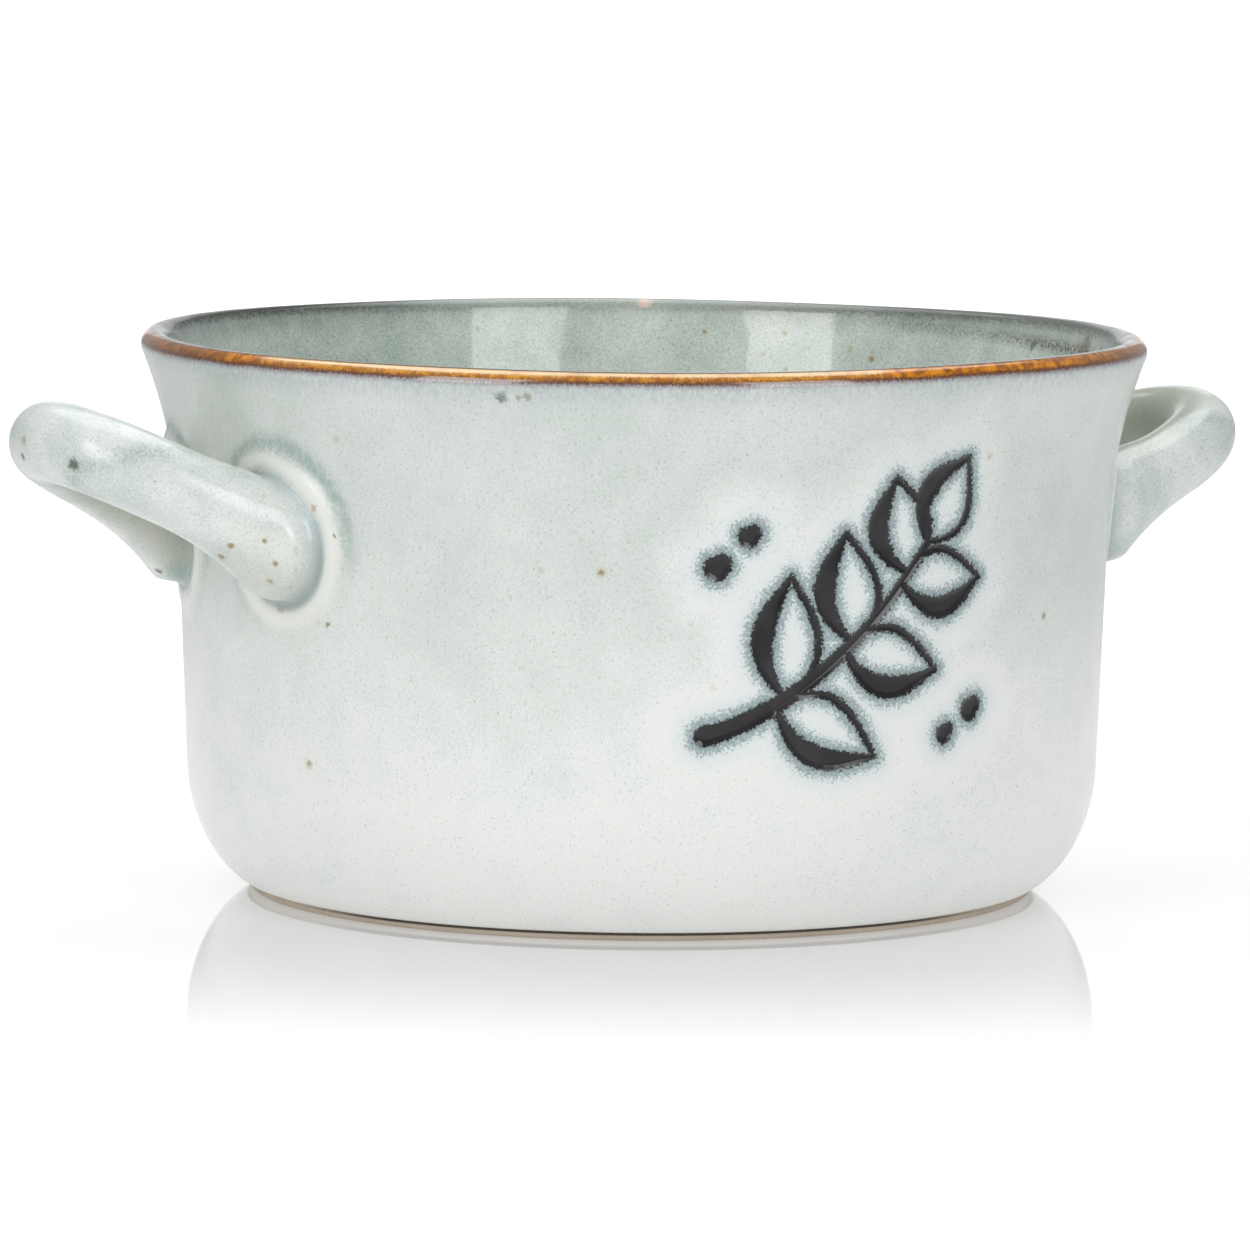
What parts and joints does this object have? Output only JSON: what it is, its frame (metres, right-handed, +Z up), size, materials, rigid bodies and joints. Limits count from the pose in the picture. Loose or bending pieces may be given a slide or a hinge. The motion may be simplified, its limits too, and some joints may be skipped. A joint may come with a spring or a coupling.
{
  "type": "soup bowl",
  "caption": "Glazed stoneware soup bowl with a flared iron-brown lip, a bare foot ring and upturned loop handles on luted collars, for serving and carrying hot soup.",
  "frame": {"origin": "centre of the foot ring's resting plane, on the bowl's axis", "axes": "+Z up along the bowl's axis, +X through the right handle, -Y towards the front"},
  "size_m": [0.1811, 0.136, 0.0753],
  "materials": {
    "bare_clay": "bare fired stoneware, matt",
    "pale_glaze": "glossy pale grey-green reactive glaze with fine speckle",
    "liner_glaze": "glossy grey-green liner glaze",
    "iron_glaze": "glossy iron-brown edge glaze"
  },
  "bodies": {
    "root": {"clay_body": "bare_clay", "left_handle": "bare_clay", "right_handle": "bare_clay", "left_front_collar": "bare_clay", "left_rear_collar": "bare_clay", "right_front_collar": "bare_clay", "right_rear_collar": "bare_clay", "outer_glaze": "pale_glaze", "inner_glaze": "liner_glaze", "rim_glaze": "iron_glaze", "base_glaze": "pale_glaze"}
  },
  "joints": []
}
